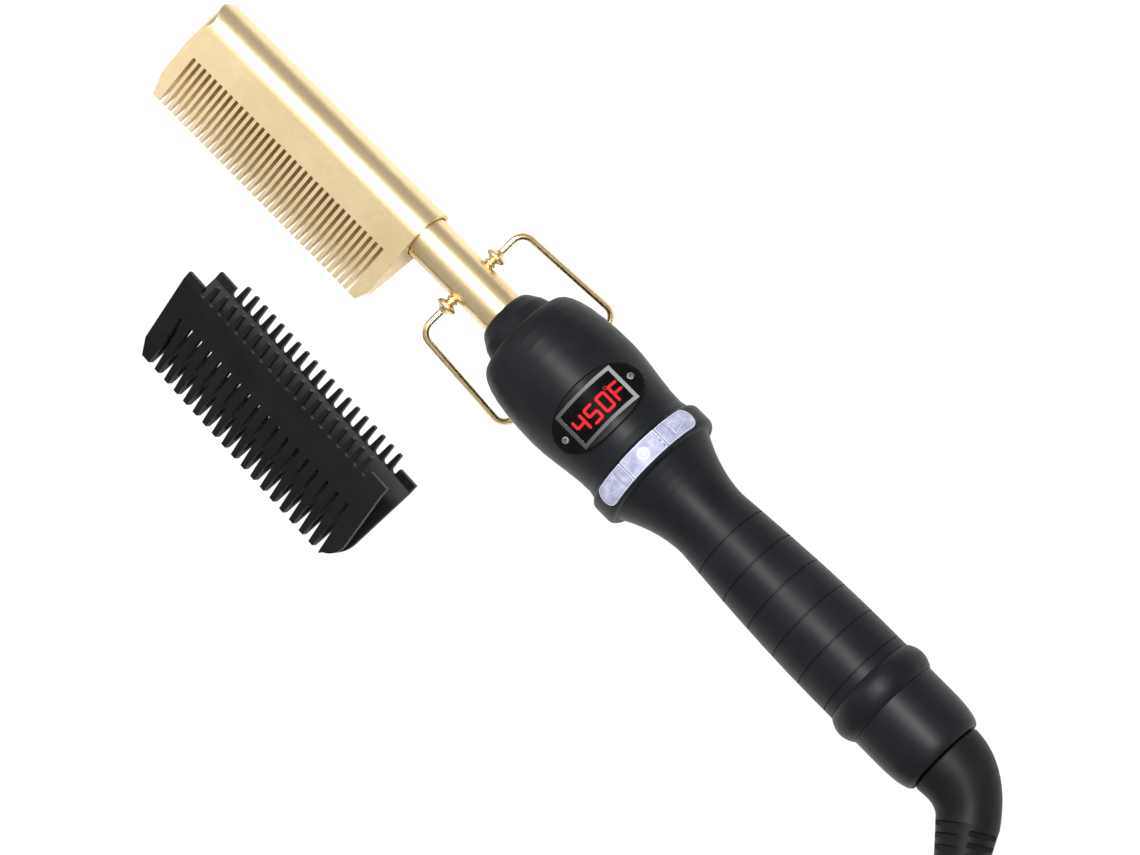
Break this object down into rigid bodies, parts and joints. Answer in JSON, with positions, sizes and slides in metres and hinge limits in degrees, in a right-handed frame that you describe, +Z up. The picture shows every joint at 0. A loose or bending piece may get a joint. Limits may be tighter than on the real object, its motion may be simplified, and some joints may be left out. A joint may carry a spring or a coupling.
{
  "type": "hot comb",
  "caption": "Hot comb lying on a table: gold comb head, bulb handle with tilted display and keys, folding wire stand, swivel cord and a slip-on comb guard beside it.",
  "frame": {"origin": "centre of the box of the tool and its guard, without the free cord, on the surface they lie on", "axes": "+X along the tool from the comb head to the cord end, +Y from the teeth to the comb's back, +Z up, out of the display"},
  "size_m": [0.3971, 0.2227, 0.0445],
  "materials": {
    "gold_metal": "satin gold anodised aluminium",
    "gold_wire": "gold plated spring steel",
    "collar_bush": "heat resistant moulded plastic",
    "soft_touch": "soft-touch coating over moulded plastic",
    "smoked_lens": "polished dark clear plastic",
    "grey_frame": "satin grey plastic",
    "screen_black": "dark screen with red digits",
    "clear_key": "frosted clear plastic",
    "board_green": "glass fibre board",
    "inner_plastic": "moulded nylon",
    "ceramic": "ceramic heating element",
    "steel": "plated steel",
    "brass": "bright brass",
    "black_rubber": "matt soft PVC",
    "guard_black": "satin black moulded plastic"
  },
  "bodies": {
    "handle": {"comb_head": "gold_metal", "heater_tube": "gold_metal", "ptc_heater": "ceramic", "thermistor": "ceramic", "barrel_sleeve": "gold_metal", "pivot_bushing": "collar_bush", "nose_collar": "soft_touch", "upper_shell": "soft_touch", "lower_shell": "soft_touch", "case_screws": "steel", "display_lens": "smoked_lens", "display_bezel": "grey_frame", "display_screen": "screen_black", "lens_screws": "steel", "display_module": "inner_plastic", "main_board": "board_green", "power_module": "inner_plastic", "key_bracket": "inner_plastic", "tact_switches": "inner_plastic", "rear_ring": "soft_touch", "end_cap": "soft_touch", "brush_block": "inner_plastic", "cord_run": "black_rubber", "cord_coil": "black_rubber", "coil_tie": "black_rubber", "plug_body": "black_rubber", "plug_blades": "brass"},
    "bail": {"stand_bail": "gold_wire", "stand_collars": "gold_wire"},
    "power_button": {"power_key": "clear_key"},
    "up_button": {"up_key": "clear_key"},
    "down_button": {"down_key": "clear_key"},
    "swivel": {"swivel_neck": "black_rubber", "slip_rings": "brass", "cord_boot": "black_rubber"},
    "guard": {"comb_guard": "guard_black"}
  },
  "joints": [
    {"name": "stand_fold", "type": "hinge", "parent": "handle", "child": "bail", "pos_m": [-0.0664, 0.0331, 0.02478], "axis": [0, 1, 0], "range_deg": [0, 120]},
    {"name": "power_press", "type": "slide", "parent": "handle", "child": "power_button", "axis": [-0.0385, 0, -0.9993], "range_m": [0, 0.0006], "stiffness_N_per_m": 800, "springref_m": -0.0004},
    {"name": "up_press", "type": "slide", "parent": "handle", "child": "up_button", "axis": [-0.0304, -0.6157, -0.7874], "range_m": [0, 0.0006], "stiffness_N_per_m": 800, "springref_m": -0.0004},
    {"name": "down_press", "type": "slide", "parent": "handle", "child": "down_button", "axis": [-0.0304, 0.6157, -0.7874], "range_m": [0, 0.0006], "stiffness_N_per_m": 800, "springref_m": -0.0004},
    {"name": "cord_swivel", "type": "hinge", "parent": "handle", "child": "swivel", "pos_m": [0.13825, 0.0331, 0.01689], "axis": [0.9993, 0, -0.0385], "continuous": true},
    {"name": "guard_lift", "type": "slide", "parent": "handle", "child": "guard", "axis": [0, 0, 1], "range_m": [0, 0.06]}
  ]
}
